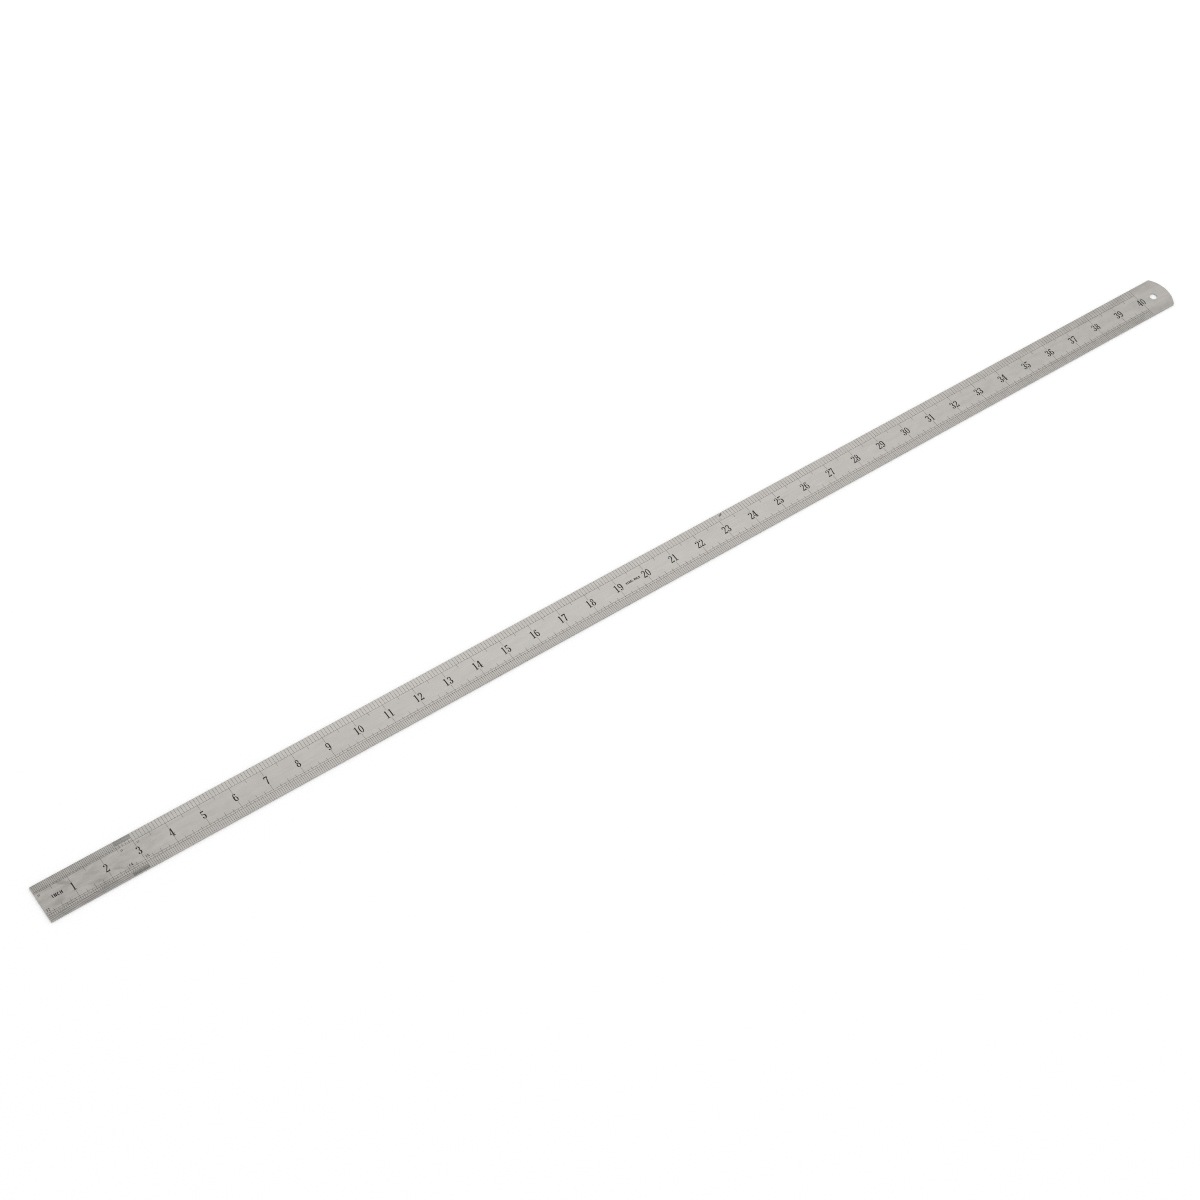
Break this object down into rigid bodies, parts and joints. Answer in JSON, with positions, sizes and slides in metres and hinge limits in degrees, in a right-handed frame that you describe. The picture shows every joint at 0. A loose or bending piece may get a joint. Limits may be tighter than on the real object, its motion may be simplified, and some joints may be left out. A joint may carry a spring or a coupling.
{
  "type": "steel ruler",
  "caption": "Flat steel rule with inch figures in black enamel, a square zero end, and a rounded end with a hanging hole.",
  "frame": {"origin": "under the middle of the strip's length and width, on the surface that it lies on", "axes": "+X along the strip from its zero end to its hanging end, +Y towards the decimal edge, +Z out of the inch face"},
  "size_m": [1.044, 0.0316, 0.0013],
  "materials": {
    "spring_steel": "satin, with a fine grain along the strip",
    "black_enamel": "matt black baked enamel"
  },
  "bodies": {
    "root": {"blade": "spring_steel", "near_scale": "black_enamel", "far_scale": "black_enamel", "legend_letter_i": "black_enamel", "legend_letter_n": "black_enamel", "legend_letter_c": "black_enamel", "legend_letter_h": "black_enamel", "number_01": "black_enamel", "number_02": "black_enamel", "number_03": "black_enamel", "number_04": "black_enamel", "number_05": "black_enamel", "number_06": "black_enamel", "number_07": "black_enamel", "number_08": "black_enamel", "number_09": "black_enamel", "number_10": "black_enamel", "number_11": "black_enamel", "number_12": "black_enamel", "number_13": "black_enamel", "number_14": "black_enamel", "number_15": "black_enamel", "number_16": "black_enamel", "number_17": "black_enamel", "number_18": "black_enamel", "number_19": "black_enamel", "number_20": "black_enamel", "number_21": "black_enamel", "number_22": "black_enamel", "number_23": "black_enamel", "number_24": "black_enamel", "number_25": "black_enamel", "number_26": "black_enamel", "number_27": "black_enamel", "number_28": "black_enamel", "number_29": "black_enamel", "number_30": "black_enamel", "number_31": "black_enamel", "number_32": "black_enamel", "number_33": "black_enamel", "number_34": "black_enamel", "number_35": "black_enamel", "number_36": "black_enamel", "number_37": "black_enamel", "number_38": "black_enamel", "number_39": "black_enamel", "number_40": "black_enamel"}
  },
  "joints": []
}
